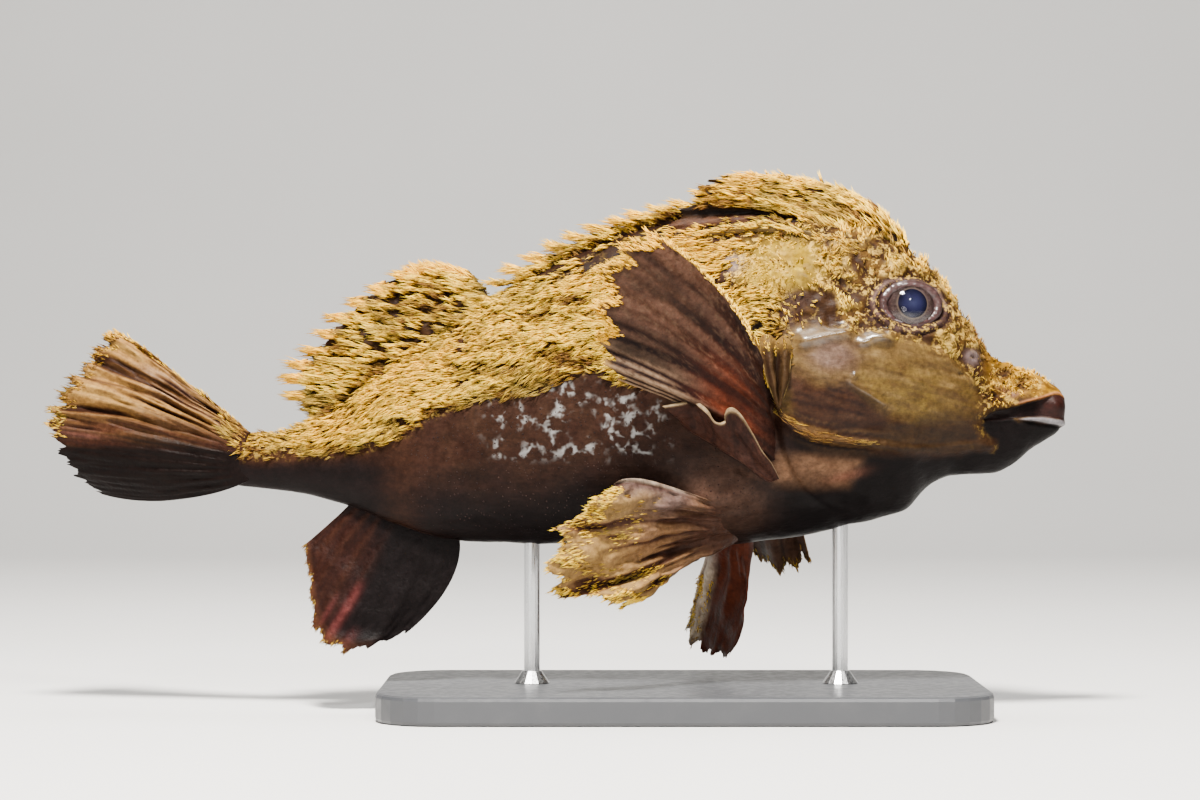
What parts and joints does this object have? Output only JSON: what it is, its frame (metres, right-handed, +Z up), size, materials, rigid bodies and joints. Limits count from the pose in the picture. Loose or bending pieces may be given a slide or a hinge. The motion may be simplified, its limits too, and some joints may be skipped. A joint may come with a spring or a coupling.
{
  "type": "horsefish model on display stand",
  "caption": "Life-size swimming horsefish, a deep-bodied relative of the stonefishes overgrown with shaggy algae, on a flat base with two short rods.",
  "frame": {"origin": "centre of the display stand's underside, on the floor", "axes": "+X forwards to the tip of the snout, +Y to the fish's left, +Z up"},
  "size_m": [0.5151, 0.2051, 0.2702],
  "materials": {
    "skin": "moist dark brown skin under yellow-brown turf algae",
    "algae": "matte golden tufts of algae",
    "fin": "moist brown and maroon fin membrane",
    "eye": "wet, glossy",
    "stand": "satin dark grey",
    "rod": "brushed"
  },
  "bodies": {
    "root": {"head": "skin", "lower_jaw": "skin", "torso": "skin", "tail_stalk": "skin", "eye_right": "eye", "eye_left": "eye", "dorsal_crest": "algae", "spiny_dorsal_fin": "algae", "soft_dorsal_fin": "algae", "caudal_fin": "fin", "anal_fin": "fin", "pectoral_fin_right": "fin", "pectoral_fin_left": "fin", "pelvic_fin_right": "fin", "pelvic_fin_left": "fin", "stand_base": "stand", "stand_rod_front": "rod", "stand_rod_rear": "rod"}
  },
  "joints": []
}
